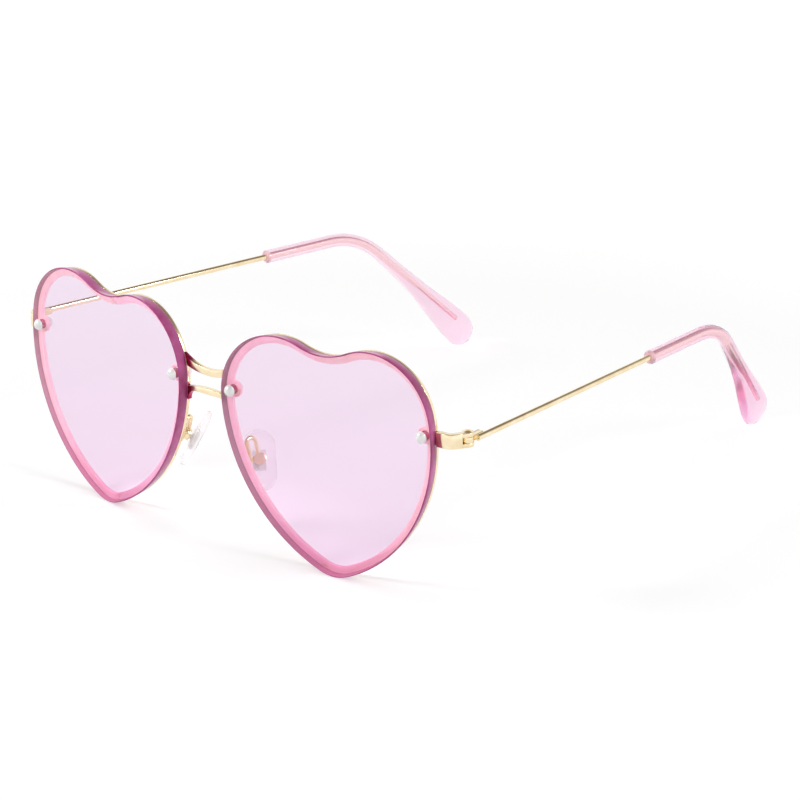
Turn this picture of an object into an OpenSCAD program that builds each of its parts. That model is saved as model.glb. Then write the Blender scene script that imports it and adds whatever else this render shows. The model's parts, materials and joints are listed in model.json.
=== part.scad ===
// Rimless heart sunglasses: acrylic heart lenses bolted to flat gold wire rims,
// a double bridge, rocking nose pads and folding wire temples with clear tips.
// Left and right are as worn: the wearer's left is +X, the front faces -Y and +Z is up.
// The origin is on the ground under the middle of the front, level with the lens centres.

/* [Lenses] */
// Gap between the two lenses where they come closest, at their front faces
bridge_gap = 13.1; // [11:0.1:16]
// Turn of each lens plane back towards its temple, in degrees
wrap_angle = 7; // [0:0.5:10]
// Thickness of the acrylic lens
lens_t = 2.8; // [1.8:0.1:3.2]

/* [Heart outline] */
// Sideways reach from the lens centre to the middle of the lobe by the temple
outer_lobe_x = 12.6; // [11:0.1:14]
// Rise from the lens centre to the middle of the lobe by the temple
outer_lobe_rise = 11.7; // [10:0.1:13]
// Radius of the lobe by the temple
outer_lobe_r = 16; // [14:0.1:17]
// Sideways reach from the lens centre to the middle of the lobe by the nose
inner_lobe_x = 12.8; // [11:0.1:14]
// Rise from the lens centre to the middle of the lobe by the nose
inner_lobe_rise = 10.6; // [9:0.1:12]
// Radius of the lobe by the nose
inner_lobe_r = 16.3; // [14:0.1:17]
// Radius of the long flank that runs down on the temple side
outer_flank_r = 38; // [34:0.5:60]
// Radius of the long flank that runs down on the nose side
inner_flank_r = 42; // [38:0.5:70]
// Radius of the rounded notch between the lobes
notch_r = 15.4; // [10:0.1:20]
// Radius of the rounded tip of the heart
tip_r = 10.2; // [6:0.1:12]
// Drop from the lens centre to the middle of the tip radius
tip_drop = 17.5; // [15:0.1:20]
// Sideways place of the tip from the lens centre, towards the temple
tip_x = 1.3; // [0:0.1:3]

/* [Rims] */
// Width of the flat rim wire, seen from the front
rim_w = 1.7; // [1.3:0.1:2.2]
// Depth of the rim wire, front to back
rim_depth = 0.8; // [0.6:0.1:1.6]
// Step of the rim inside the edge of the lens
rim_inset = 0.55; // [0.1:0.05:0.7]
// Radius of the eyes on the rim that the studs pass through
eye_r = 2; // [1.7:0.1:2.3]

/* [Lens studs] */
// Distance from a stud's axis to the edge of the lens
stud_inset = 2.65; // [2.4:0.05:3]
// Height of the temple side studs above the lens centre
outer_stud_rise = 10.7; // [9:0.1:12]
// Height of the nose side studs above the lens centre
inner_stud_rise = 11.5; // [10:0.1:13]
// Radius of a stud's shaft
stud_r = 0.7; // [0.5:0.05:0.8]
// Radius of a stud's domed head
stud_head_r = 1.45; // [1.2:0.05:1.8]
// Height of a stud's domed head
stud_head_h = 1.15; // [0.7:0.05:1.2]
// Outer radius of the bush between a stud and its lens
bush_r = 1.15; // [1:0.05:1.3]
// Radius of the cap nut behind the rim
cap_nut_r = 1.45; // [1.2:0.05:1.6]
// Height of the cap nut
cap_nut_h = 1.7; // [1.3:0.1:2]
// Depth of the blind thread in the cap nut
cap_nut_thread = 1; // [0.7:0.1:1.1]

/* [Bridge] */
// Front to back depth of both bridge bars
bar_depth = 1.2; // [0.8:0.1:1.3]
// Height of the upper bar's middle above the lens centre
upper_bar_rise = 13.2; // [12:0.05:15]
// Height of the upper bar's section at its middle
upper_bar_h = 1.6; // [1.1:0.1:2]
// Radius of the upper bar's top edge, which opens upwards
upper_bar_top_r = 14; // [11:0.5:30]
// Radius of the upper bar's lower edge
upper_bar_low_r = 20; // [16:0.5:40]
// Height of the lower bar's middle above the lens centre
lower_bar_rise = 8.5; // [7:0.05:9.5]
// Height of the lower bar's section at its middle
lower_bar_h = 1.35; // [1:0.05:1.7]
// Radius of the lower bar's top edge, which falls away to both sides
lower_bar_top_r = 35; // [25:1:60]
// Radius of the fillets where the lower bar runs down into the rims
lower_bar_fillet_r = 2.6; // [1:0.1:3]

/* [End pieces] */
// Height of the end pieces and of the hinges
end_piece_h = 3.3; // [2.8:0.1:4]
// Thickness of an end piece
end_piece_t = 1.5; // [1.2:0.1:1.8]
// Reach of an end piece past the edge of the lens, out to its corner
end_piece_reach = 3.6; // [2.8:0.1:4.5]
// Length of the stretch that runs from the corner back to the hinge
end_piece_l = 3; // [2.6:0.1:4.5]
// Angle of that stretch, out from straight back, in degrees
end_piece_flare = 32; // [24:1:40]
// Setback of the end piece behind the front face of the lens
end_piece_setback = 1.8; // [1.4:0.1:2.4]
// Height of the hinge's middle above the lens centre
hinge_rise = 10.15; // [9:0.05:11.5]

/* [Hinges] */
// Radius of the hinge barrels
barrel_r = 1.4; // [1.1:0.05:1.5]
// Height of the middle barrel, on the temple leaf
middle_barrel_h = 1.3; // [1:0.05:1.6]
// Radius of the hinge screw's shaft
hinge_screw_r = 0.6; // [0.4:0.05:0.7]
// Radius of the hinge screw's head
hinge_screw_head_r = 1; // [0.8:0.05:1.2]
// Height of the hinge screw's head
hinge_screw_head_h = 0.3; // [0.2:0.05:0.5]
// Thickness of the temple leaf
temple_leaf_t = 1.2; // [0.9:0.1:1.3]
// Length of the temple leaf, back from the hinge axis
temple_leaf_l = 4.6; // [4:0.1:6]

/* [Temples] */
// Inward splay of a temple, in degrees
temple_splay = 6.2; // [4:0.1:7.5]
// Inward lean of the bent tip, in degrees
tip_lean = 12.3; // [6:0.1:14]
// Sideways offset of the wire from the hinge axis
wire_offset = 1.4; // [1.2:0.05:1.7]
// Radius of the temple wire
wire_r = 0.7; // [0.5:0.05:0.8]
// Distance from the hinge axis to the start of the bend
temple_straight_l = 93.7; // [91:0.1:97]
// Distance from the hinge axis to the mouth of the tip
tip_start = 71.9; // [60:0.5:80]
// Radius of the bend over the ear
bend_r = 22; // [17:0.5:26]
// Angle of the bend over the ear, in degrees
bend_angle = 43.5; // [40:0.5:46]

/* [Temple tips] */
// Radius of the round part of a tip
tip_sleeve_r = 1.65; // [1.5:0.05:2]
// Length of a tip beyond the bend
tip_fall_l = 38.9; // [36:0.1:41]
// Length of the wire core beyond the bend
core_l = 32; // [27:0.2:33]
// Radius of the paddle's round end
paddle_r = 4.5; // [3.8:0.1:5]
// Thickness of the paddle
paddle_t = 3; // [2.4:0.1:3.2]
// Set of the paddle's end towards the neck, off the wire's line
paddle_set = 1.75; // [1.2:0.05:2]

/* [Nose pads] */
// Height of a pad
pad_h = 14.4; // [12:0.2:16]
// Width of a pad
pad_w = 7.7; // [6:0.1:8.5]
// Thickness of a pad
pad_t = 2; // [1.8:0.1:2.2]
// Turn of a pad about the vertical, in degrees
pad_turn = 42; // [35:1:48]
// Lean of a pad, its top towards the nose, in degrees
pad_lean = 29; // [22:1:34]
// Distance from the pad's rocking axis to the middle of the pad's thickness
pad_standoff = 2.1; // [2.05:0.05:2.6]
// Angle that a pad can rock each way, in degrees
pad_rock = 12; // [8:1:15]

/* [Pad arms and boxes] */
// Radius of the pad arm's wire
arm_r = 0.5; // [0.4:0.05:0.6]
// Height of the arm's foot below the lens centre
arm_foot_drop = 6.4; // [5:0.2:8]
// Lean of the arm, its top towards the nose, in degrees
arm_lean = 18; // [12:1:22]
// Outward turn of the arm's loop, in degrees
arm_turn = 13; // [5:1:20]
// Radius of the bend at the arm's foot
arm_foot_r = 0.85; // [0.7:0.05:1.1]
// Radius of the arm's upper loop
arm_loop_r = 1.15; // [1:0.05:1.4]
// Height of the arm's loop above its foot
arm_rise = 4.6; // [4:0.1:6]
// Height of the pad's rocking axis above the arm's foot
pivot_rise = 0.4; // [0:0.1:1]
// Outer radius of the pad box
pad_box_r = 1.4; // [1.3:0.05:1.6]
// Wall of the pad box
pad_box_wall = 0.4; // [0.3:0.05:0.45]
// Radius of the pad screw's shaft
pad_screw_r = 0.35; // [0.25:0.05:0.4]
// Radius of the pad screw's head
pad_screw_head_r = 0.65; // [0.5:0.05:0.8]
// Height of the pad screw's head
pad_screw_head_h = 0.4; // [0.3:0.05:0.5]

/* [Clearances] */
// Radial running clearance of the hinge and pad screws in what turns on them
running_clearance = 0.04; // [0.02:0.01:0.06]
// Gap between neighbouring barrels along the hinge screw
barrel_gap = 0.05; // [0.03:0.01:0.1]
// Gap round the barrels where a leaf turns past its neighbour
leaf_gap = 0.15; // [0.1:0.05:0.3]
// Radial gap of the studs in the eyes of the rims
stud_gap = 0.05; // [0.02:0.01:0.1]

/* [Hidden] */

// Fineness of small round shapes, of the bars' long arcs and of the tips' rounded forms
$fn = 64;
long_arc_fn = 180;
form_fn = 28;
// Longest straight step along the heart's outline
outline_chord = 1.25;
// Swell of the ball that closes each seam of a bent bar
seam_share = 1.02;
// Depth to which a temple wire is let into its leaf, as a share of the wire's radius
saddle_share = 0.3;
// Rounds in which the temples' pitch is worked out
pitch_rounds = 12;
// Overrun of a cut past the face it opens
overrun = 0.5;
// Sides of the object
left = 1;
right = -1;

gold = "#f0dca8";
pearl = "#eef0ee";
crimson = "#9a2f52";
lens_pink = [0.9, 0.72, 0.88, 0.5];
tip_pink = [0.95, 0.72, 0.82, 0.6];
frosted = [0.93, 0.92, 0.93, 0.7];

// Point where two circles cross, on the chosen side of the line from the first to the second
function circles_cross(a, ra, b, rb, side) =
    let (d = norm(b - a),
         along = (ra * ra - rb * rb + d * d) / (2 * d),
         off = sqrt(ra * ra - along * along),
         line = (b - a) / d)
    a + along * line + side * off * [-line.y, line.x];
function heading(a, b) = atan2(b.y - a.y, b.x - a.x);
// The same direction as turn, counted on past start
function past(start, turn) = turn < start ? turn + 360 : turn;

// Centres of the heart's arcs, in the lens plane: x towards the temple, y up
outer_lobe = [outer_lobe_x, outer_lobe_rise];
inner_lobe = [-inner_lobe_x, inner_lobe_rise];
heart_tip = [tip_x, -tip_drop];
outer_flank = circles_cross(outer_lobe, outer_flank_r - outer_lobe_r,
                            heart_tip, outer_flank_r - tip_r, -1);
inner_flank = circles_cross(inner_lobe, inner_flank_r - inner_lobe_r,
                            heart_tip, inner_flank_r - tip_r, 1);
notch = circles_cross(outer_lobe, outer_lobe_r + notch_r,
                      inner_lobe, inner_lobe_r + notch_r, -1);
// Directions at which one arc hands over to the next
outer_tip_turn = heading(outer_flank, heart_tip);
outer_lobe_turn = heading(outer_flank, outer_lobe);
inner_lobe_turn = past(0, heading(inner_flank, inner_lobe));
inner_tip_turn = past(inner_lobe_turn, heading(inner_flank, heart_tip));

// Arcs of the heart in turn: centre, radius, 1 for a bulge or -1 for a hollow, start and end
heart_arcs = [
    [outer_flank, outer_flank_r, 1, outer_tip_turn, outer_lobe_turn],
    [outer_lobe, outer_lobe_r, 1, outer_lobe_turn, heading(outer_lobe, notch)],
    [notch, notch_r, -1, heading(notch, outer_lobe), heading(notch, inner_lobe)],
    [inner_lobe, inner_lobe_r, 1, heading(inner_lobe, notch), inner_lobe_turn],
    [inner_flank, inner_flank_r, 1, inner_lobe_turn, inner_tip_turn],
    [heart_tip, tip_r, 1, inner_tip_turn, past(inner_tip_turn, outer_tip_turn)]
];
// Points of an arc shrunk by inset, all but its last, which the next arc starts with
function arc_points(arc, inset) =
    let (steps = ceil(arc[1] * PI / 180 * abs(arc[4] - arc[3]) / outline_chord),
         radius = arc[1] - arc[2] * inset)
    [for (i = [0:steps - 1]) let (turn = arc[3] + i * (arc[4] - arc[3]) / steps)
        arc[0] + radius * [cos(turn), sin(turn)]];

lens_centre_x = bridge_gap / 2 + (inner_lobe_x + inner_lobe_r) * cos(wrap_angle);
lens_z = tip_drop + tip_r;
hinge_z = lens_z + hinge_rise;
rim_front = lens_t;
rim_back = lens_t + rim_depth;

// Half width of an arc's circle at a height
function half_chord(centre, radius, y) = sqrt(radius * radius - (y - centre.y) * (y - centre.y));
// Reach of the heart's edge from the lens centre at a height, on the temple and the nose side
function outer_reach(y) =
    y < outer_flank.y + outer_flank_r * sin(outer_lobe_turn)
        ? outer_flank.x + half_chord(outer_flank, outer_flank_r, y)
        : outer_lobe.x + half_chord(outer_lobe, outer_lobe_r, y);
function inner_reach(y) =
    y < inner_flank.y + inner_flank_r * sin(inner_lobe_turn)
        ? half_chord(inner_flank, inner_flank_r, y) - inner_flank.x
        : half_chord(inner_lobe, inner_lobe_r, y) - inner_lobe.x;
outer_stud = [outer_reach(outer_stud_rise) - stud_inset, outer_stud_rise];
inner_stud = [stud_inset - inner_reach(inner_stud_rise), inner_stud_rise];

// Plan place, seen from above, of a point in the lens plane set back by a depth
function plan(reach, depth) = [
    lens_centre_x + reach * cos(wrap_angle) - depth * sin(wrap_angle),
    reach * sin(wrap_angle) + depth * cos(wrap_angle)
];

// End piece and hinge, in plan
flare_way = [sin(end_piece_flare), cos(end_piece_flare)];
flare_out = [cos(end_piece_flare), -sin(end_piece_flare)];
end_reach = outer_reach(hinge_rise);
end_corner = plan(end_reach + end_piece_reach, end_piece_setback);
end_outer = end_corner + end_piece_l * flare_way;
end_inner = end_outer - end_piece_t * flare_out;
// Inner corner, at the same thickness from both outer faces
depth_way = [-sin(wrap_angle), cos(wrap_angle)];
end_crook = end_corner + end_piece_t * (depth_way - flare_out) / (1 - depth_way * flare_out);
hinge = end_outer + (barrel_r + leaf_gap) * flare_way - barrel_r * flare_out;
side_barrel_h = (end_piece_h - middle_barrel_h) / 2 - barrel_gap;

// Tip shape beyond the bend: stations as shares of its length, widths as shares of the paddle
neck_start_share = 0.9;
neck_share = 0.44;
shoulder_share = 0.8;
neck_width_share = 0.55;
neck_set_share = 0.3;
shoulder_width_share = 0.97;
shoulder_set_share = 0.9;
paddle_edge_r = paddle_t / 2;
paddle_at = tip_fall_l - paddle_r;

// Pitch at which the tips reach the ground on which the hearts' tips stand
paddle_y = temple_straight_l + bend_r * sin(bend_angle) + paddle_at * cos(bend_angle)
    - paddle_set * sin(bend_angle);
paddle_fall = bend_r * (1 - cos(bend_angle)) + paddle_at * sin(bend_angle)
    + paddle_set * cos(bend_angle);
function rim_droop(pitch) = (paddle_r - paddle_edge_r)
    * sqrt(pow(sin(pitch), 2) + pow(cos(tip_lean) * cos(pitch), 2)) + paddle_edge_r;
function ground_pitch(pitch, rounds) = rounds <= 0 ? pitch
    : ground_pitch(asin((hinge_z - paddle_fall * cos(tip_lean) * cos(pitch)
                         - rim_droop(pitch)) / paddle_y), rounds - 1);
temple_pitch = ground_pitch(0, pitch_rounds);

// Pad arm and pad, on the left side
foot_reach = rim_inset + rim_w / 2 - inner_reach(-arm_foot_drop);
foot = plan(foot_reach, rim_back);
leg_y = arm_foot_r + 2 * arm_loop_r;
box_bore_r = pad_box_r - pad_box_wall;
box_mouth = pad_standoff - pad_t / 2 - leaf_gap - pad_box_r * sin(pad_rock);
box_back = pad_box_r / 2 + pad_box_wall;

// Stem of the insert as shares of the box's bore, and its buried plate as shares of the pad
stem_w_share = 0.88;
stem_h_share = 1.12;
plate_t_share = 0.25;
plate_w_share = 0.4;
plate_h_share = 0.33;
stem_w = stem_w_share * box_bore_r;
stem_h = stem_h_share * box_bore_r;

module on_side(side) {
    if (side == right) mirror([1, 0, 0]) children();
    else children();
}

// Children drawn in the lens plane, their front face at height zero and their back below it
module in_lens_plane() {
    translate([lens_centre_x, 0, lens_z]) rotate([0, 0, wrap_angle]) rotate([90, 0, 0]) children();
}

// The heart, shrunk evenly by inset
module heart(inset) {
    polygon([for (arc = heart_arcs) for (point = arc_points(arc, inset)) point]);
}

module at_studs() {
    for (place = [outer_stud, inner_stud]) translate(place) children();
}

// Slab of the heart from the front face back to a depth
module heart_slab(inset, depth) {
    in_lens_plane() translate([0, 0, -depth]) linear_extrude(depth) heart(inset);
}

// Space that a lens and its rim fill, down to a depth, for trimming what is brazed to the rim
module front_envelope(depth) {
    heart_slab(0, lens_t);
    heart_slab(rim_inset, depth);
}

module lens(side) {
    color(lens_pink) on_side(side) in_lens_plane() translate([0, 0, -lens_t]) linear_extrude(lens_t)
        difference() {
            heart(0);
            at_studs() circle(r = bush_r);
        }
}

module rim(side) {
    color(gold) on_side(side) in_lens_plane() translate([0, 0, -rim_back]) linear_extrude(rim_depth)
        difference() {
            union() {
                difference() {
                    heart(rim_inset);
                    heart(rim_inset + rim_w);
                }
                at_studs() circle(r = eye_r);
            }
            at_studs() circle(r = stud_r + stud_gap);
        }
}

// Domed button of a given radius and height, standing on the plane
module dome(radius, height) {
    ball_r = (radius * radius + height * height) / (2 * height);
    rotate_extrude() intersection() {
        translate([0, height - ball_r]) circle(r = ball_r);
        square([radius, height]);
    }
}

module lens_studs() {
    color(pearl) for (side = [left, right]) on_side(side) in_lens_plane() at_studs() {
        dome(stud_head_r, stud_head_h);
        translate([0, 0, -rim_back - cap_nut_thread]) cylinder(r = stud_r, h = rim_back + cap_nut_thread);
    }
}

module lens_bushes() {
    color(crimson) for (side = [left, right]) on_side(side) in_lens_plane() at_studs()
        translate([0, 0, -lens_t]) difference() {
            cylinder(r = bush_r, h = lens_t);
            translate([0, 0, -overrun]) cylinder(r = stud_r, h = lens_t + 2 * overrun);
        }
}

module cap_nuts() {
    color(pearl) for (side = [left, right]) on_side(side) in_lens_plane() at_studs()
        translate([0, 0, -rim_back]) mirror([0, 0, 1]) difference() {
            dome(cap_nut_r, cap_nut_h);
            translate([0, 0, -overrun]) cylinder(r = stud_r, h = overrun + cap_nut_thread);
        }
}

// Mid depth of the rims where the bridge meets them
bridge_y = plan(-inner_reach(upper_bar_rise), (rim_front + rim_back) / 2).y;
// Half the gap between the rims at a height, and the half length that the bars are drawn to
function half_gap(y) = plan(-inner_reach(y), (rim_front + rim_back) / 2).x;
bar_half_l = half_gap(lower_bar_rise) + rim_w;

// Bar outline, extruded from front to back and trimmed to the rims
module bridge_bar() {
    color(gold) difference() {
        translate([0, bridge_y + bar_depth / 2, lens_z]) rotate([90, 0, 0]) linear_extrude(bar_depth) children();
        for (side = [left, right]) on_side(side) front_envelope(rim_back + overrun);
    }
}

module upper_bridge_bar() {
    bridge_bar() difference() {
        intersection() {
            translate([0, upper_bar_rise - upper_bar_h / 2 + upper_bar_low_r])
                circle(r = upper_bar_low_r, $fn = long_arc_fn);
            translate([-bar_half_l, 0]) square([2 * bar_half_l, upper_bar_rise + upper_bar_top_r]);
        }
        translate([0, upper_bar_rise + upper_bar_h / 2 + upper_bar_top_r])
            circle(r = upper_bar_top_r, $fn = long_arc_fn);
    }
}

module lower_bridge_bar() {
    low = lower_bar_rise - lower_bar_h / 2;
    fillet_x = half_gap(low - lower_bar_fillet_r) - lower_bar_fillet_r;
    bridge_bar() {
        intersection() {
            translate([0, lower_bar_rise + lower_bar_h / 2 - lower_bar_top_r])
                circle(r = lower_bar_top_r, $fn = long_arc_fn);
            translate([-bar_half_l, low]) square([2 * bar_half_l, 2 * lower_bar_h]);
        }
        for (side = [0, 1]) mirror([side, 0]) difference() {
            translate([fillet_x, low - lower_bar_fillet_r])
                square([bar_half_l - fillet_x, lower_bar_fillet_r + lower_bar_h / 2]);
            translate([fillet_x, low - lower_bar_fillet_r]) circle(r = lower_bar_fillet_r);
        }
    }
}

module end_piece(side) {
    bite = rim_w / 2;
    color(gold) on_side(side) difference() {
        translate([0, 0, hinge_z - end_piece_h / 2]) linear_extrude(end_piece_h) polygon([
            plan(end_reach - bite, end_piece_setback), end_corner, end_outer, end_inner, end_crook,
            plan(end_reach - bite, end_piece_setback + end_piece_t)
        ]);
        front_envelope(rim_back + overrun);
    }
}

// Heights, up from the foot of the hinge, at which the two front barrels start
function side_barrel_starts() = [0, end_piece_h - side_barrel_h];

module at_hinge() {
    translate([hinge.x, hinge.y, hinge_z - end_piece_h / 2]) children();
}

module front_leaf(side) {
    color(gold) on_side(side) at_hinge() for (z = side_barrel_starts()) translate([0, 0, z]) difference() {
        union() {
            cylinder(r = barrel_r, h = side_barrel_h);
            rotate([0, 0, -end_piece_flare]) translate([barrel_r - end_piece_t, -barrel_r - leaf_gap, 0])
                cube([end_piece_t, barrel_r + leaf_gap, side_barrel_h]);
        }
        translate([0, 0, -overrun]) cylinder(r = hinge_screw_r, h = side_barrel_h + 2 * overrun);
    }
}

// Children drawn with the wire's line as their Y axis and the hinge at their origin
module on_temple() {
    translate([hinge.x, hinge.y, hinge_z]) rotate([0, 0, temple_splay]) translate([wire_offset, 0, 0])
        rotate([-temple_pitch, 0, 0]) rotate([0, tip_lean, 0]) children();
}

// Straight round bar along the temple
module along_temple(radius, from, to) {
    translate([0, from, 0]) rotate([-90, 0, 0]) cylinder(r = radius, h = to - from);
}

// Children drawn with the end of the bend as their origin
module past_bend() {
    translate([0, temple_straight_l, -bend_r]) rotate([-bend_angle, 0, 0])
        translate([0, 0, bend_r]) children();
}

// The temple's line from a start to past the bend, as a round bar
module bent_bar(radius, from, fall) {
    along_temple(radius, from, temple_straight_l);
    translate([0, temple_straight_l, 0]) sphere(r = radius * seam_share);
    translate([0, temple_straight_l, -bend_r]) rotate([0, -90, 0])
        rotate_extrude(angle = bend_angle) translate([bend_r, 0]) circle(r = radius);
    past_bend() {
        sphere(r = radius * seam_share);
        along_temple(radius, 0, fall);
    }
}

wire_start = barrel_r + 2 * leaf_gap;
saddle_x = wire_offset - wire_r + saddle_share * wire_r;

module temple_leaf(side) {
    color(gold) on_side(side) difference() {
        translate([hinge.x, hinge.y, hinge_z - middle_barrel_h / 2]) {
            cylinder(r = barrel_r, h = middle_barrel_h);
            rotate([0, 0, temple_splay]) translate([-temple_leaf_t / 2, 0, 0])
                cube([temple_leaf_t / 2 + saddle_x, temple_leaf_l, middle_barrel_h]);
        }
        translate([hinge.x, hinge.y, hinge_z - end_piece_h])
            cylinder(r = hinge_screw_r + running_clearance, h = 2 * end_piece_h);
        on_temple() along_temple(wire_r, 0, temple_leaf_l + overrun);
    }
}

module hinge_screws() {
    color(gold) for (side = [left, right]) on_side(side) at_hinge() {
        cylinder(r = hinge_screw_r, h = end_piece_h);
        translate([0, 0, end_piece_h]) dome(hinge_screw_head_r, hinge_screw_head_h);
    }
}

module temple_wire(side) {
    color(gold) on_side(side) on_temple() bent_bar(wire_r, wire_start, core_l);
}

// Rounded slice of the tip's fall: a place along it, its width, thickness and set off the line
module tip_slice(along, width, thick, set_off) {
    for (edge = [-1, 1]) translate([0, along, -set_off + edge * (width - thick) / 2])
        sphere(r = thick / 2, $fn = form_fn);
}

module tip_neck() {
    tip_slice(neck_share * tip_fall_l, neck_width_share * 2 * paddle_r,
              tip_sleeve_r + paddle_edge_r, neck_set_share * paddle_set);
}

module tip_shoulder() {
    tip_slice(shoulder_share * tip_fall_l, shoulder_width_share * 2 * paddle_r,
              paddle_t, shoulder_set_share * paddle_set);
}

// Round end of the paddle, a disc with a full round edge
module tip_end() {
    translate([0, paddle_at, -paddle_set]) rotate([0, 90, 0]) rotate_extrude($fn = 2 * form_fn) {
        translate([paddle_r - paddle_edge_r, 0]) intersection() {
            circle(r = paddle_edge_r, $fn = form_fn);
            translate([0, -paddle_edge_r]) square(paddle_t);
        }
        translate([0, -paddle_edge_r]) square([paddle_r - paddle_edge_r, paddle_t]);
    }
}

module temple_tip(side) {
    color(tip_pink) on_side(side) on_temple() difference() {
        union() {
            bent_bar(tip_sleeve_r, tip_start, neck_share * tip_fall_l);
            past_bend() {
                hull() {
                    tip_slice(0, neck_start_share * 2 * tip_sleeve_r, neck_start_share * 2 * tip_sleeve_r, 0);
                    tip_neck();
                }
                hull() {
                    tip_neck();
                    tip_shoulder();
                }
                hull() {
                    tip_shoulder();
                    tip_end();
                }
            }
        }
        bent_bar(wire_r, tip_start - overrun, core_l);
    }
}

// Children drawn in the plane of the arm's loop, their origin at the foot on the rim
module at_arm() {
    translate([foot.x, foot.y, lens_z - arm_foot_drop]) rotate([0, -arm_lean, 0])
        rotate([0, 0, -arm_turn]) children();
}

// Children drawn about the pad's rocking axis: X out of the pad, Y along the axis, Z up the pad
module at_pad() {
    at_arm() translate([0, leg_y, pivot_rise]) rotate([0, 0, arm_turn]) rotate([0, arm_lean, 0])
        rotate([0, 0, -pad_turn]) rotate([0, -pad_lean, 0]) children();
}

module pad_arm(side) {
    color(gold) on_side(side) difference() {
        at_arm() {
            translate([0, -rim_depth / 2, 0]) rotate([-90, 0, 0]) cylinder(r = arm_r, h = rim_depth / 2);
            translate([0, 0, arm_foot_r]) rotate([0, 90, 0])
                rotate_extrude(angle = 90) translate([arm_foot_r, 0]) circle(r = arm_r);
            translate([0, arm_foot_r, arm_foot_r]) cylinder(r = arm_r, h = arm_rise - arm_foot_r);
            translate([0, arm_foot_r + arm_loop_r, arm_rise]) rotate([90, 0, 90])
                rotate_extrude(angle = 180) translate([arm_loop_r, 0]) circle(r = arm_r);
            translate([0, leg_y, pivot_rise]) cylinder(r = arm_r, h = arm_rise - pivot_rise);
        }
        front_envelope(rim_back);
        at_pad() box_solid();
    }
}

// Outer form of the pad box
module box_solid() {
    translate([-box_mouth, 0, 0]) rotate([0, 90, 0]) cylinder(r = pad_box_r, h = box_mouth + box_back);
}

module pad_box(side) {
    color(gold) on_side(side) at_pad() difference() {
        box_solid();
        translate([-box_mouth - overrun, 0, 0]) rotate([0, 90, 0])
            cylinder(r = box_bore_r, h = overrun + box_mouth + box_back - pad_box_wall);
        translate([0, -pad_box_r - overrun, 0]) rotate([-90, 0, 0])
            cylinder(r = pad_screw_r, h = 2 * pad_box_r + 2 * overrun);
    }
}

// Stem and buried plate of the insert
module insert_solid() {
    translate([-pad_standoff, -stem_w / 2, -stem_h / 2]) cube([pad_standoff, stem_w, stem_h]);
    rotate([90, 0, 0]) translate([0, 0, -stem_w / 2]) cylinder(r = stem_h / 2, h = stem_w);
    translate([-pad_standoff - plate_t_share * pad_t / 2, -plate_w_share * pad_w / 2, -plate_h_share * pad_h / 2])
        cube([plate_t_share * pad_t, plate_w_share * pad_w, plate_h_share * pad_h]);
}

module pad_insert(side) {
    color(pearl) on_side(side) at_pad() difference() {
        insert_solid();
        translate([0, -pad_box_r, 0]) rotate([-90, 0, 0])
            cylinder(r = pad_screw_r + running_clearance, h = 2 * pad_box_r);
    }
}

module pad_screws() {
    color(gold) for (side = [left, right]) on_side(side) at_pad() rotate([90, 0, 0]) {
        translate([0, 0, -pad_box_r]) cylinder(r = pad_screw_r, h = 2 * pad_box_r);
        translate([0, 0, pad_box_r]) cylinder(r = pad_screw_head_r, h = pad_screw_head_h);
    }
}

// Oval pad with a full round edge
module pad_solid() {
    run = (pad_h - pad_w) / 2;
    rotate([0, 90, 0]) {
        for (way = [0, 180]) rotate([0, 0, way]) translate([run, 0, 0]) rotate([0, 0, -90])
            rotate_extrude(angle = 180) pad_section();
        rotate([0, 90, 0]) translate([0, 0, -run]) linear_extrude(2 * run)
            for (way = [0, 1]) mirror([0, way]) rotate(90) pad_section();
    }
}

// Half of the pad's cross section, from its middle to its round edge
module pad_section() {
    half_t = pad_t / 2;
    translate([0, -half_t]) square([pad_w / 2 - half_t, pad_t]);
    translate([pad_w / 2 - half_t, 0]) intersection() {
        circle(r = half_t);
        translate([0, -half_t]) square([half_t, pad_t]);
    }
}

module nose_pad(side) {
    color(frosted) on_side(side) at_pad() difference() {
        translate([-pad_standoff, 0, 0]) pad_solid();
        insert_solid();
    }
}

lens(left);  // left_lens
lens(right);  // right_lens
rim(left);  // left_rim
rim(right);  // right_rim
upper_bridge_bar();
lower_bridge_bar();
lens_studs();
lens_bushes();
cap_nuts();
end_piece(left);  // left_end_piece
end_piece(right);  // right_end_piece
front_leaf(left);  // left_front_leaf
front_leaf(right);  // right_front_leaf
temple_leaf(left);  // left_temple_leaf
temple_leaf(right);  // right_temple_leaf
hinge_screws();
temple_wire(left);  // left_temple_wire
temple_wire(right);  // right_temple_wire
temple_tip(left);  // left_temple_tip
temple_tip(right);  // right_temple_tip
pad_arm(left);  // left_pad_arm
pad_arm(right);  // right_pad_arm
pad_box(left);  // left_pad_box
pad_box(right);  // right_pad_box
pad_insert(left);  // left_pad_insert
pad_insert(right);  // right_pad_insert
pad_screws();
nose_pad(left);  // left_nose_pad
nose_pad(right);  // right_nose_pad
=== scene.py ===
# Rimless heart sunglasses standing open on a white studio floor.
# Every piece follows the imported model; lengths are in metres, +Z is up and the front faces -Y.
import json
from math import cos, pi, radians, sin, sqrt

import bmesh
import bpy
from mathutils import Euler, Matrix, Vector


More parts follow.
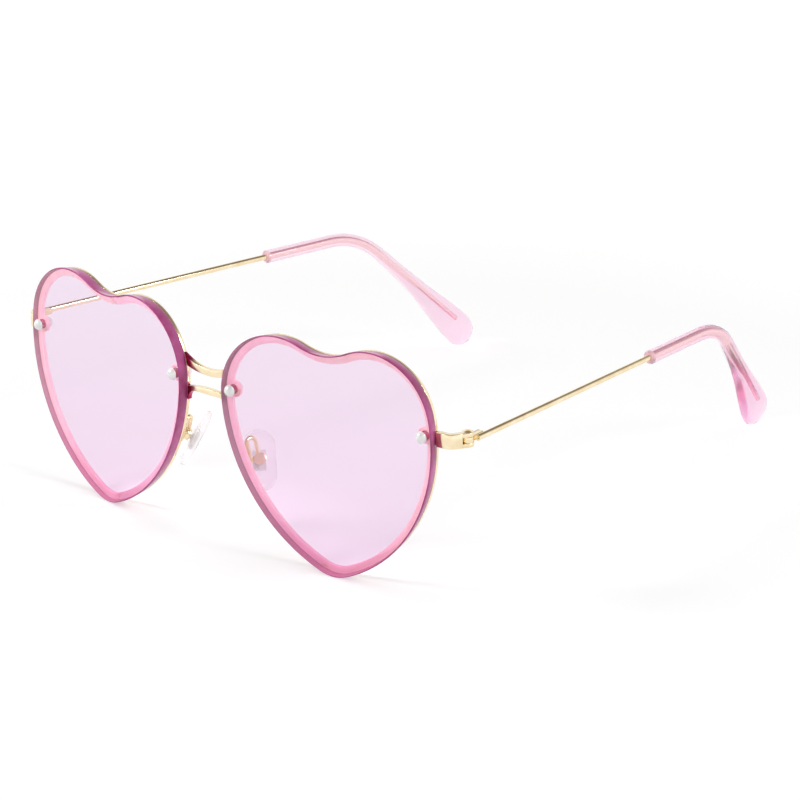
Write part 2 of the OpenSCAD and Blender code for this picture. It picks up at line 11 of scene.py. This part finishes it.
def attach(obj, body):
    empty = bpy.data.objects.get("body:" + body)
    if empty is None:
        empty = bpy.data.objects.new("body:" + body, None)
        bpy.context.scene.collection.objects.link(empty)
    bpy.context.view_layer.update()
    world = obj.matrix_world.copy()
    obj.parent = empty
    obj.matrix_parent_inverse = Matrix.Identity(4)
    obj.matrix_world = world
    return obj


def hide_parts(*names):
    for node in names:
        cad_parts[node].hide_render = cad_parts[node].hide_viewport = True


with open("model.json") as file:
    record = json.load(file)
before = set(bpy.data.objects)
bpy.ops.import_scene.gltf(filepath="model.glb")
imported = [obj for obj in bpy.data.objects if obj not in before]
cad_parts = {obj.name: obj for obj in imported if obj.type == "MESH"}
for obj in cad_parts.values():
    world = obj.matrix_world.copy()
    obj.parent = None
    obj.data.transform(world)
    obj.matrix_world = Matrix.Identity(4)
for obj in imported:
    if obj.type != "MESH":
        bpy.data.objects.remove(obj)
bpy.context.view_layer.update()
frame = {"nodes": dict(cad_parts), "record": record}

# Studio
# A white seamless floor with a soft lamp on either side, as in a product photograph.
# The camera stands in front of the wearer's left lens and looks a little down on it.

bpy.context.scene.view_settings.view_transform = "Standard"
bpy.ops.object.select_all(action="DESELECT")

camera_place = (0.54477, -0.53109, 0.30372)
camera_turn = 42.49
camera_height = 19.60
camera_roll = -1.0035
bpy.ops.object.camera_add(location=camera_place)
camera = bpy.context.object
camera.name = "camera"
looking = Euler((radians(90 - camera_height), 0, radians(camera_turn))).to_matrix()
camera.rotation_euler = (looking @ Matrix.Rotation(radians(camera_roll), 3, "Z")).to_euler()
camera.data.lens = 159.05
camera.data.sensor_width = 36
camera.data.clip_start = 0.02
bpy.context.scene.camera = camera


def new_material(name):
    """Empty node material with its Principled shader."""
    material = bpy.data.materials.new(name)
    material.use_nodes = True
    return material, material.node_tree, material.node_tree.nodes["Principled BSDF"]


def fill(tree, node, **values):
    """Give a node's named sockets a number, a colour or a link."""
    for key, value in values.items():
        socket = node.inputs[key.replace("_", " ")]
        if isinstance(value, bpy.types.NodeSocket):
            tree.links.new(value, socket)
        else:
            socket.default_value = value


def add_node(tree, kind, **values):
    """Node with its settings, and with its named sockets filled."""
    node = tree.nodes.new(kind)
    for key, value in values.items():
        if hasattr(node, key):
            setattr(node, key, value)
        else:
            fill(tree, node, **{key: value})
    return node


def combine(tree, operation, *values, **settings):
    """Result of a sum on one or two sockets."""
    node = add_node(tree, "ShaderNodeMath", operation=operation, **settings)
    for value, socket in zip(values, node.inputs):
        tree.links.new(value, socket)
    return node.outputs[0]


def fade(tree, value, start, end, low=0, high=1):
    """Number that runs from low to high while the value runs from start to end."""
    return add_node(tree, "ShaderNodeMapRange", Value=value, From_Min=start, From_Max=end,
                    To_Min=low, To_Max=high).outputs["Result"]


def mix(tree, factor, first, second):
    """Colour between two others."""
    return add_node(tree, "ShaderNodeMix", data_type="RGBA", Factor=factor,
                    A=first, B=second).outputs["Result"]


def ramp(tree, value, low, low_colour, high, high_colour):
    """Colour that changes while the value runs from low to high."""
    node = add_node(tree, "ShaderNodeValToRGB")
    first, last = node.color_ramp.elements
    first.position, first.color = low, low_colour
    last.position, last.color = high, high_colour
    tree.links.new(value, node.inputs[0])
    return node.outputs[0]


def axis(tree, coordinates, letter):
    """Place or direction along X, Y or Z."""
    place = add_node(tree, "ShaderNodeTexCoord").outputs[coordinates]
    return add_node(tree, "ShaderNodeSeparateXYZ", Vector=place).outputs[letter]


def seen_directly(tree):
    """1 for rays from the camera, a mirror or a clear material, 0 for light falling on things."""
    path = add_node(tree, "ShaderNodeLightPath")
    total = path.outputs["Is Camera Ray"]
    for other in ("Is Glossy Ray", "Is Transmission Ray"):
        total = combine(tree, "MAXIMUM", total, path.outputs[other])
    return total


def softbox(name, place, aim, width, power):
    """Square area lamp that faces a point."""
    bpy.ops.object.light_add(type="AREA", location=place)
    lamp = bpy.context.object
    lamp.name = name
    lamp.data.shape = "SQUARE"
    lamp.data.size = width
    lamp.data.energy = power
    lamp.rotation_euler = (Vector(aim) - Vector(place)).to_track_quat("-Z", "Y").to_euler()


white = (1, 1, 1, 1)
air_light = (0.52, 0.52, 0.52, 1)
studio_ceiling = (0.24, 0.21, 0.18, 1)

# The air is white wherever it is seen, but polished metal alone mirrors a darker ceiling
world = bpy.data.worlds.new("studio_air")
bpy.context.scene.world = world
world.use_nodes = True
air = world.node_tree
path = add_node(air, "ShaderNodeLightPath")
only_mirrors = combine(air, "SUBTRACT", path.outputs["Is Glossy Ray"],
                       path.outputs["Is Transmission Ray"], use_clamp=True)
overhead = ramp(air, axis(air, "Generated", "Z"), 0.45, white, 0.75, studio_ceiling)
in_mirrors = mix(air, only_mirrors, white, overhead)
fill(air, air.nodes["Background"], Strength=1.0,
     Color=mix(air, seen_directly(air), air_light, in_mirrors))

# The floor glows a little where it is seen, and more where it runs away to the backdrop
floor_middle = 0.2
floor_far = 0.6
bpy.ops.mesh.primitive_plane_add(size=7, location=(0, 0, 0))
floor = bpy.context.object
floor.name = "floor"
floor_white, tree, surface = new_material("floor_white")
place = add_node(tree, "ShaderNodeTexCoord").outputs["Object"]
away = add_node(tree, "ShaderNodeVectorMath", operation="LENGTH", Vector=place).outputs["Value"]
lift = fade(tree, away, floor_middle, floor_far, 0.25, 0.6)
fill(tree, surface, Base_Color=(0.80, 0.80, 0.80, 1), Roughness=0.9, Specular_IOR_Level=0.1,
     Emission_Color=white, Emission_Strength=combine(tree, "MULTIPLY", seen_directly(tree), lift))
floor.data.materials.append(floor_white)

softbox("softbox_left", (-0.75, -0.65, 0.85), (0, 0.03, 0.03), 0.35, 7.0)
softbox("softbox_right", (0.95, 0.25, 0.75), (0, 0.05, 0.03), 0.3, 4.3)

# Lenses
# Each lens is a flat heart of tinted acrylic, cut and polished from sheet.
# Its edge leans in towards the back, and is painted deep pink for the light that runs inside the
# sheet.

sides = {"left": 1, "right": -1}
lens_t = 0.0028
lens_wrap = radians(7)
lens_centre_x = 0.0354331
lens_z = 0.0277
lens_top = 0.055
stud_places = ((0.02614, 0.0107), (-0.02643, 0.0115))
stud_hole_r = 0.0014
edge_lean = 0.0005
front_bevel = 0.00032
back_bevel = 0.0001
sharp_corner = radians(50)
flat_angle = radians(0.5)
flat_face = 0.99
leaning_face = 0.97
same_place = 1e-7
same_plane = 1e-5


def copy_of(node_name, name):
    """Merged copy of a CAD node's mesh, as a piece of its own."""
    piece = bpy.data.objects.new(name, frame["nodes"][node_name].data.copy())
    bpy.context.collection.objects.link(piece)
    piece.data.materials.clear()
    bpy.ops.object.select_all(action="DESELECT")
    piece.select_set(True)
    bpy.context.view_layer.objects.active = piece
    bpy.ops.object.mode_set(mode="EDIT")
    bpy.ops.mesh.select_all(action="SELECT")
    bpy.ops.mesh.remove_doubles(threshold=same_place)
    bpy.ops.mesh.dissolve_limited(angle_limit=flat_angle)
    bpy.ops.object.mode_set(mode="OBJECT")
    return piece


def pick(piece, kind, wanted):
    """Select only the vertices, edges or faces that the test wants, for the next edit."""
    if bpy.context.mode != "OBJECT":
        bpy.ops.object.mode_set(mode="OBJECT")
    bpy.ops.object.select_all(action="DESELECT")
    piece.select_set(True)
    bpy.context.view_layer.objects.active = piece
    bpy.ops.object.mode_set(mode="EDIT")
    bpy.ops.mesh.select_mode(type=kind)
    bpy.ops.mesh.select_all(action="DESELECT")
    mesh = bmesh.from_edit_mesh(piece.data)
    parts = {"VERT": mesh.verts, "EDGE": mesh.edges, "FACE": mesh.faces}[kind]
    for part in parts:
        part.select = wanted(part)
    mesh.select_flush_mode()
    bmesh.update_edit_mesh(piece.data)


def done(piece, angle=35):
    """Back to object mode, with smooth shading across all but sharp edges."""
    bpy.ops.object.mode_set(mode="OBJECT")
    bpy.ops.object.select_all(action="DESELECT")
    piece.select_set(True)
    bpy.context.view_layer.objects.active = piece
    bpy.ops.object.shade_smooth_by_angle(angle=radians(angle))


def noise(tree, scale, detail, roughness=0.5):
    """Cloudy pattern that is fixed to the piece."""
    place = add_node(tree, "ShaderNodeTexCoord").outputs["Object"]
    return add_node(tree, "ShaderNodeTexNoise", Vector=place, Scale=scale, Detail=detail,
                    Roughness=roughness).outputs["Fac"]


def lens_axes(sign):
    """Centre of a lens's front face, with its directions outwards and to the back."""
    return (Vector((sign * lens_centre_x, 0, lens_z)),
            Vector((sign * cos(lens_wrap), sin(lens_wrap), 0)),
            Vector((-sign * sin(lens_wrap), cos(lens_wrap), 0)))


def near_stud(point, centre, reach_way, radius):
    """Whether a point lies closer to a stud's axis than the radius."""
    flat = Vector(((point - centre).dot(reach_way), point.z - lens_z))
    return any((flat - Vector(stud)).length < radius for stud in stud_places)


lilac_low = (0.87, 0.685, 0.85, 1)
lilac_high = (0.893, 0.752, 0.886, 1)
lens_clear, tree, surface = new_material("lens_clear")
up_lens = fade(tree, axis(tree, "Object", "Z"), 0, lens_top)
fill(tree, surface, Base_Color=mix(tree, up_lens, lilac_low, lilac_high),
     Transmission_Weight=1, Roughness=0, IOR=1.49)

painted_glow_dark = (0.35, 0.055, 0.17, 1)
painted_glow_light = (0.55, 0.12, 0.33, 1)
painted_top_highlight = (0.74, 0.40, 0.50, 1)
painted_inside_low = (0.56, 0.17, 0.31, 1)
painted_inside_high = (0.60, 0.31, 0.40, 1)
lens_edge, tree, surface = new_material("lens_edge")
# Painted light: the edge's deep pink, in random streaks, stands for light running inside the
# sheet. Faces turned up get a painted pale highlight. The edge seen from inside the lens gets a
# painted colour of its own, darker towards the bottom.
glow_streaks = ramp(tree, noise(tree, 140, 3, 0.6), 0.35, painted_glow_dark, 0.70, painted_glow_light)
upward = fade(tree, axis(tree, "Normal", "Z"), 0.97, 1.0)
up_inside = fade(tree, axis(tree, "Object", "Z"), 0.003, 0.022)
inside = add_node(tree, "ShaderNodeNewGeometry").outputs["Backfacing"]
fill(tree, surface, Roughness=0.16, Specular_IOR_Level=0.2,
     Base_Color=mix(tree, inside, mix(tree, upward, glow_streaks, painted_top_highlight),
                    mix(tree, up_inside, painted_inside_low, painted_inside_high)))

for side, sign in sides.items():
    lens = copy_of(f"{side}_lens", f"{side}_heart_lens")
    centre, reach_way, depth_way = lens_axes(sign)

    def in_hole(point):
        return near_stud(point, centre, reach_way, stud_hole_r)

    def on_back(point):
        return abs((point - centre).dot(depth_way) - lens_t) < same_plane

    def corner(edge):
        return (len(edge.link_faces) == 2 and edge.calc_face_angle() > sharp_corner
                and not in_hole(edge.verts[0].co))

    # The back face is drawn in, and slid back onto its own plane
    pick(lens, "VERT", lambda v: on_back(v.co) and not in_hole(v.co))
    bpy.ops.transform.shrink_fatten(value=-edge_lean, use_even_offset=True)
    mesh = bmesh.from_edit_mesh(lens.data)
    for v in mesh.verts:
        if v.select:
            v.co += depth_way * (lens_t - (v.co - centre).dot(depth_way))
    bmesh.update_edit_mesh(lens.data)
    pick(lens, "EDGE", lambda e: corner(e) and not on_back(e.verts[0].co))
    bpy.ops.mesh.bevel(offset=front_bevel, segments=3)
    pick(lens, "EDGE", lambda e: corner(e) and on_back(e.verts[0].co))
    bpy.ops.mesh.bevel(offset=back_bevel, segments=2)
    done(lens)
    lens.data.materials.append(lens_clear)
    lens.data.materials.append(lens_edge)
    for face in lens.data.polygons:
        flatness = abs(face.normal.dot(depth_way))
        if flatness > flat_face:
            face.use_smooth = False
        face.material_index = int(flatness < leaning_face and not in_hole(face.center))
    lens.visible_shadow = False
    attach(lens, "front")
    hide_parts(f"{side}_lens")

# Rims and bridge
# Flat wire bent to the heart and brazed to two curved bars, plated pale gold.
# The face against the lens is painted pink and given a painted glow, for the pink light it takes
# from the lens's edge, and shows through the lens as a soft band.

rim_edge = 0.00006
rim_eye_r = 0.0021
rim_side = 0.8
gentlest_bend = radians(15)
sharpest_bend = radians(75)
bend_l_min = 0.003
gold_deep = (0.86, 0.69, 0.42, 1)
gold_pale = (0.97, 0.85, 0.62, 1)


def gold(name, roughness):
    """Pale gold plating with faint unevenness in its polish."""
    material, tree, surface = new_material(name)
    cloud = noise(tree, 260, 4, 0.6)
    bump = add_node(tree, "ShaderNodeBump", Strength=0.05, Distance=0.0001, Height=cloud)
    fill(tree, surface, Base_Color=ramp(tree, cloud, 0.3, gold_deep, 0.7, gold_pale), Metallic=1,
         Roughness=fade(tree, cloud, 0, 1, roughness - 0.05, roughness + 0.07),
         Normal=bump.outputs[0])
    return material


def plating(material):
    """Tree, shader and plated colour of a gold finish, for a colour laid over it."""
    surface = material.node_tree.nodes["Principled BSDF"]
    return material.node_tree, surface, surface.inputs["Base Color"].links[0].from_socket


def dress(node_names, body, material, edge=rim_edge, angle=35, bend=0):
    """Smoothly shaded copies of CAD nodes with softened edges and rounded bends, in a finish."""
    for node_name in node_names:
        piece = copy_of(node_name, f"{node_name}_skin")
        if bend:
            # A bend's edges run from the top of the bar to its bottom
            pick(piece, "EDGE", lambda e: len(e.link_faces) == 2
                 and gentlest_bend < e.calc_face_angle() < sharpest_bend
                 and abs(e.verts[0].co.z - e.verts[1].co.z) > bend_l_min)
            bpy.ops.mesh.bevel(offset=bend, segments=6)
            bpy.ops.object.mode_set(mode="OBJECT")
        if edge:
            soften = piece.modifiers.new("soften", "BEVEL")
            soften.width = edge
            soften.segments = 2
            soften.limit_method = "ANGLE"
            soften.angle_limit = radians(40)
            soften.use_clamp_overlap = True
            bpy.ops.object.modifier_apply(modifier="soften")
        done(piece, angle)
        piece.data.materials.append(material)
        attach(piece, body)
        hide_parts(node_name)


rim_gold = gold("rim_gold", 0.2)

blush_deep = (0.93, 0.56, 0.62, 1)
blush_pale = (0.95, 0.65, 0.70, 1)
blush_low = (0.70, 0.25, 0.42, 1)
# Painted light: the pink of this face and its emission glow stand for pink light taken from the
# lens's edge.
rim_painted_glow, tree, surface = new_material("rim_painted_glow")
blush = ramp(tree, noise(tree, 320, 3), 0.35, blush_deep, 0.65, blush_pale)
# The pink is darker towards the bottom of the heart.
above_point = fade(tree, axis(tree, "Object", "Z"), 0.002, 0.016)
fill(tree, surface, Base_Color=mix(tree, above_point, blush_low, blush), Roughness=0.4,
     Emission_Color=(0.96, 0.58, 0.58, 1), Emission_Strength=0.28)

dress(["left_rim", "right_rim"], "front", rim_gold)
for side, sign in sides.items():
    rim = bpy.data.objects[f"{side}_rim_skin"]
    rim.data.materials.append(rim_painted_glow)
    centre, reach_way, depth_way = lens_axes(sign)
    for face in rim.data.polygons:
        backward = face.normal.dot(depth_way)
        outward = face.normal.dot(face.center - centre) > 0
        in_eye = near_stud(face.center, centre, reach_way, rim_eye_r)
        # Faces towards the lens, in the stud eyes and on the inner wall take the painted pink
        # glow
        pink_faced = backward < -rim_side or in_eye or not outward
        face.material_index = int(pink_faced and backward <= rim_side)

# A painted reflection of the lenses' crimson edges darkens the bars' ends in front, where they
# run in behind the lenses
bar_edge = 0.00012
reflection_start = 0.0035
reflection_full = 0.0022
painted_edge_reflection = (0.42, 0.03, 0.11, 1)
bar_end = max(abs(v.co.x) for v in frame["nodes"]["upper_bridge_bar"].data.vertices)
bar_gold = gold("bar_gold", 0.17)
tree, surface, plated = plating(bar_gold)
reach = combine(tree, "ABSOLUTE", axis(tree, "Object", "X"))
at_end = fade(tree, reach, bar_end - reflection_start, bar_end - reflection_full)
in_front = fade(tree, axis(tree, "Normal", "Y"), 0.5, 0.2)
reflected_part = combine(tree, "MULTIPLY", at_end, in_front)
fill(tree, surface, Base_Color=mix(tree, reflected_part, plated, painted_edge_reflection))
dress(["upper_bridge_bar", "lower_bridge_bar"], "front", bar_gold, bar_edge)

# Lens studs, bushes and cap nuts
# Pearly domed studs pass through crimson bushes in the lenses.
# Domed nuts close them behind the rims.

polished_edge = 0.00005
pearl_grey = (0.80, 0.83, 0.81, 1)
pearl_white = (0.95, 0.94, 0.93, 1)
pearl, tree, surface = new_material("pearl")
fill(tree, surface, Metallic=0.2, Roughness=0.28, Coat_Weight=0.7, Coat_Roughness=0.08,
     Base_Color=ramp(tree, noise(tree, 900, 2), 0.35, pearl_grey, 0.65, pearl_white))

wine_dark = (0.45, 0.02, 0.10, 1)
wine_light = (0.78, 0.08, 0.23, 1)
crimson, tree, surface = new_material("crimson")
fill(tree, surface, Roughness=0.25,
     Base_Color=ramp(tree, noise(tree, 1400, 2), 0, wine_dark, 1, wine_light))

dress(["lens_studs", "cap_nuts"], "front", pearl, polished_edge)
dress(["lens_bushes"], "front", crimson, 0)

# End pieces and hinges
# The end pieces are cut from flat bar and brazed behind the lenses, flared out to the hinges.
# Each hinge has three barrels on one screw, with a driver's slot across its head.

end_piece_edge = 0.00018
end_piece_bend = 0.0009
leaf_edge = 0.0001
slot_l = 0.0028
slot_w = 0.00028
slot_cut_h = 0.0003
slot_turn = radians(25)
joints = {joint["name"]: joint for joint in frame["record"]["behaviour"]["joints"]}
hinge_gold = gold("hinge_gold", 0.16)
dress(["left_end_piece", "right_end_piece"], "front", hinge_gold,
      end_piece_edge, bend=end_piece_bend)
dress(["left_front_leaf", "right_front_leaf", "hinge_screws"], "front", hinge_gold,
      leaf_edge)
screws = bpy.data.objects["hinge_screws_skin"]
head_top = max(v.co.z for v in screws.data.vertices)
for side, sign in sides.items():
    hinge = Vector(joints[f"{side}_temple_fold"]["pos_m"])
    bpy.ops.object.select_all(action="DESELECT")
    bpy.ops.mesh.primitive_cube_add(size=1, location=(hinge.x, hinge.y, head_top),
                                    scale=(slot_l, slot_w, slot_cut_h),
                                    rotation=(0, 0, sign * slot_turn))
    cutter = bpy.context.object
    bpy.context.view_layer.objects.active = screws
    slot_cut = screws.modifiers.new("slot_cut", "BOOLEAN")
    slot_cut.operation = "DIFFERENCE"
    slot_cut.solver = "EXACT"
    slot_cut.object = cutter
    bpy.ops.object.modifier_apply(modifier="slot_cut")
    bpy.data.objects.remove(cutter)
for side in sides:
    dress([f"{side}_temple_leaf"], f"{side}_temple", hinge_gold, leaf_edge)

# Temple wires
# Round wire, drawn and plated, bent over the ear inside its clear tip.
# Inside the tip it is painted rosy for the pink light through the tip, with a painted dark
# reflection along its upper side.

wire_edge = 0.00015
bare_end = 0.0820
sleeve_start = 0.0835
rosy_light = (0.97, 0.80, 0.76, 1)
painted_reflection_line = (0.55, 0.30, 0.34, 1)
wire_gold = gold("wire_gold", 0.14)
tree, surface, plated = plating(wire_gold)
# Painted light: rosy inside the tip, with a painted dark reflection on the upper side.
sleeved = fade(tree, axis(tree, "Object", "Y"), bare_end, sleeve_start)
upper_side = fade(tree, axis(tree, "Normal", "Z"), 0.55, 0.85)
fill(tree, surface,
     Base_Color=mix(tree, sleeved, plated, mix(tree, upper_side, rosy_light, painted_reflection_line)))
for side in sides:
    dress([f"{side}_temple_wire"], f"{side}_temple", wire_gold, wire_edge)

# Temple tips
# Clear pink plastic pushed over the wire, round at its mouth and widening to a flat paddle.
# The deeper it is to look through, the pinker it gets, and its cut mouth is frosted.

tip_low = (1.0, 0.97, 0.99, 1)
tip_high = (1.0, 0.94, 0.95, 1)
tip_clear, tree, surface = new_material("tip_clear")
up_tip = fade(tree, axis(tree, "Object", "Z"), 0, 0.03)
fill(tree, surface, Base_Color=mix(tree, up_tip, tip_low, tip_high), Transmission_Weight=0.9,
     Roughness=0.12, IOR=1.17, Coat_Weight=0.4, Coat_Roughness=0.06)
depth = add_node(tree, "ShaderNodeVolumeAbsorption", Density=85, Color=(0.89, 0.07, 0.58, 1))
tree.links.new(depth.outputs[0], tree.nodes["Material Output"].inputs["Volume"])

frost_deep = (0.95, 0.45, 0.60, 1)
frost_pale = (1.0, 0.82, 0.88, 1)
tip_mouth, tree, surface = new_material("tip_mouth")
fill(tree, surface, Roughness=0.35, Transmission_Weight=0.25,
     Base_Color=ramp(tree, noise(tree, 1800, 2), 0, frost_deep, 1, frost_pale))

wire_offset = 0.0014
temple_splay = radians(6.2)
temple_pitch = radians(1.36)
tip_lean = radians(12.3)
straight_l = 0.0937
tip_start = 0.0719
bend_r = 0.022
bend_angle = radians(43.5)
bend_steps = 14
sleeve_r = 0.00165
sleeve_sides = 36
mouth_ring = 0.0004
mouth_bevel = 0.00012
mouth_depth = 0.0005
mouth_face_area = 2e-5
paddle_centre = 0.0344
paddle_r = 0.0045
paddle_edge_r = 0.0015
paddle_set = 0.00175
# Along the fall: distance, half width, half thickness and set off the wire's line
paddle_stations = [(0.006, 0.00178, 0.00162, 0.0001), (0.0115, 0.00204, 0.0016, 0.00028),
                   (0.0171, 0.00247, 0.00158, 0.00055), (0.0205, 0.00292, 0.00156, 0.0008),
                   (0.024, 0.00342, 0.00154, 0.00106), (0.0276, 0.0039, 0.00152, 0.00132),
                   (0.0311, 0.00433, 0.0015, 0.00158),
                   (paddle_centre, paddle_r, paddle_edge_r, paddle_set)]
# The paddle's end is round, and its thickness follows the round of its edge
for turn in (15, 28, 40, 50, 59, 67, 74, 80, 85, 88.5):
    reach = paddle_r * sin(radians(turn))
    to_edge = paddle_r - reach
    thick = paddle_edge_r
    if to_edge <= paddle_edge_r:
        thick = sqrt(paddle_edge_r ** 2 - (paddle_edge_r - to_edge) ** 2)
    half_width = max(paddle_r * cos(radians(turn)), thick)
    paddle_stations.append((paddle_centre + reach, half_width, thick, paddle_set))


def select_ring(piece, y, half=0):
    """Select the vertices at a distance along Y: all, or the upper or the lower half."""
    mesh = bmesh.from_edit_mesh(piece.data)
    ring = [v for v in mesh.verts if abs(v.co.y - y) < same_place]
    middle = sum(v.co.z for v in ring) / len(ring)
    for v in mesh.verts:
        v.select = False
    for v in ring:
        v.select = half == 0 or (v.co.z - middle) * half > 0
    mesh.select_flush_mode()
    bmesh.update_edit_mesh(piece.data)


def spread(piece, y, distance):
    """Move the two halves of a ring apart, or together where the distance is below zero."""
    for half in (1, -1):
        select_ring(piece, y, half)
        bpy.ops.transform.translate(value=(0, 0, half * distance))


def push(distance):
    """Extrude what is selected along Y."""
    bpy.ops.mesh.extrude_region_move(TRANSFORM_OT_translate={"value": (0, distance, 0)})


for side in sides:
    # The fall is drawn out straight along Y, ring by ring, from the bend to the paddle's end
    bpy.ops.object.select_all(action="DESELECT")
    bpy.ops.mesh.primitive_circle_add(vertices=sleeve_sides, radius=sleeve_r, fill_type="NGON",
                                      rotation=(pi / 2, 0, 0))
    tip = bpy.context.object
    tip.name = f"{side}_clear_tip"
    bpy.ops.object.transform_apply(location=True, rotation=True, scale=True)
    bpy.ops.object.mode_set(mode="EDIT")
    bpy.ops.mesh.select_mode(type="VERT")
    bpy.ops.mesh.select_all(action="SELECT")
    bpy.ops.transform.rotate(value=pi / sleeve_sides, orient_axis="Y", center_override=(0, 0, 0))
    before, flat, thick, middle = 0, 0, sleeve_r, 0
    for along, half_width, half_thick, set_off in paddle_stations:
        select_ring(tip, before)
        push(along - before)
        spread(tip, along, -flat)
        select_ring(tip, along)
        bpy.ops.transform.resize(value=(half_thick / thick, 1, half_thick / thick),
                                 center_override=(0, along, middle))
        bpy.ops.transform.translate(value=(0, 0, -set_off - middle))
        flat = half_width - half_thick
        spread(tip, along, flat)
        before, thick, middle = along, half_thick, -set_off

    # It is turned down about the bend's centre, and the sleeve is spun back and run to the mouth
    bpy.ops.mesh.select_all(action="SELECT")
    bpy.ops.transform.rotate(value=bend_angle, orient_axis="X", center_override=(0, 0, -bend_r))
    bend_end = Vector((0, bend_r * sin(bend_angle), -bend_r * (1 - cos(bend_angle))))
    pick(tip, "FACE", lambda f: (f.calc_center_median() - bend_end).length < sleeve_r / 4)
    bpy.ops.mesh.delete(type="ONLY_FACE")
    pick(tip, "VERT", lambda v: (v.co - bend_end).length < sleeve_r * 1.02)
    bpy.ops.mesh.spin(steps=bend_steps, angle=-bend_angle, center=(0, 0, -bend_r), axis=(1, 0, 0))
    push(tip_start - straight_l + mouth_ring)
    push(-mouth_ring)
    bpy.ops.mesh.edge_face_add()
    bpy.ops.mesh.select_all(action="SELECT")
    bpy.ops.mesh.remove_doubles(threshold=same_place)
    bpy.ops.mesh.normals_make_consistent(inside=False)
    mouth_y = tip_start - straight_l
    pick(tip, "EDGE", lambda e: all(abs(v.co.y - mouth_y) < same_plane for v in e.verts))
    bpy.ops.mesh.bevel(offset=mouth_bevel, segments=2)
    bpy.ops.object.mode_set(mode="OBJECT")

    # It is set on its hinge with the temple's splay, pitch and lean, and the right one mirrored
    hinge = Vector(joints[f"{side}_temple_fold"]["pos_m"])
    tip.matrix_world = (Matrix.Translation((abs(hinge.x), hinge.y, hinge.z))
                        @ Matrix.Rotation(temple_splay, 4, "Z")
                        @ Matrix.Translation((wire_offset, 0, 0))
                        @ Matrix.Rotation(-temple_pitch, 4, "X")
                        @ Matrix.Rotation(tip_lean, 4, "Y")
                        @ Matrix.Translation((0, straight_l, 0)))
    bpy.ops.object.transform_apply(location=True, rotation=True, scale=True)
    if side == "right":
        tip.scale.x = -1
        bpy.ops.object.transform_apply(location=False, rotation=False, scale=True)
        pick(tip, "FACE", lambda f: True)
        bpy.ops.mesh.normals_make_consistent(inside=False)
    done(tip, 40)
    tip.data.materials.append(tip_clear)
    tip.data.materials.append(tip_mouth)
    mouth_near = min(v.co.y for v in tip.data.vertices) - same_plane
    for face in tip.data.polygons:
        at_mouth = mouth_near < face.center.y < mouth_near + mouth_depth
        face.material_index = int(at_mouth and face.area < mouth_face_area)
    tip.visible_shadow = False
    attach(tip, f"{side}_temple")
    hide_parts(f"{side}_temple_tip")

# Nose pads
# Clear, slightly milky pads on a small metal insert, rocking on a screw in a gold box.
# The box is brazed to a looped arm of thin wire.

pad_clear, tree, surface = new_material("pad_clear")
milk = fade(tree, noise(tree, 500, 3), 0, 1, 0.16, 0.3)
fill(tree, surface, Base_Color=(1.0, 0.98, 0.99, 1), Transmission_Weight=0.8, IOR=1.2,
     Roughness=milk)

blank_grey = (0.95, 0.93, 0.93, 1)
blank_white = (0.99, 0.98, 0.98, 1)
insert_metal, tree, surface = new_material("insert_metal")
fill(tree, surface, Metallic=0.1, Roughness=0.35,
     Base_Color=ramp(tree, noise(tree, 700, 3), 0.35, blank_grey, 0.65, blank_white))

arm_gold = gold("arm_gold", 0.18)
for side in sides:
    dress([f"{side}_pad_arm", f"{side}_pad_box"], "front", arm_gold,
          polished_edge)
    dress([f"{side}_pad_insert"], f"{side}_pad", insert_metal, polished_edge)
    dress([f"{side}_nose_pad"], f"{side}_pad", pad_clear, 0)
    bpy.data.objects[f"{side}_nose_pad_skin"].visible_shadow = False
dress(["pad_screws"], "front", arm_gold, polished_edge)
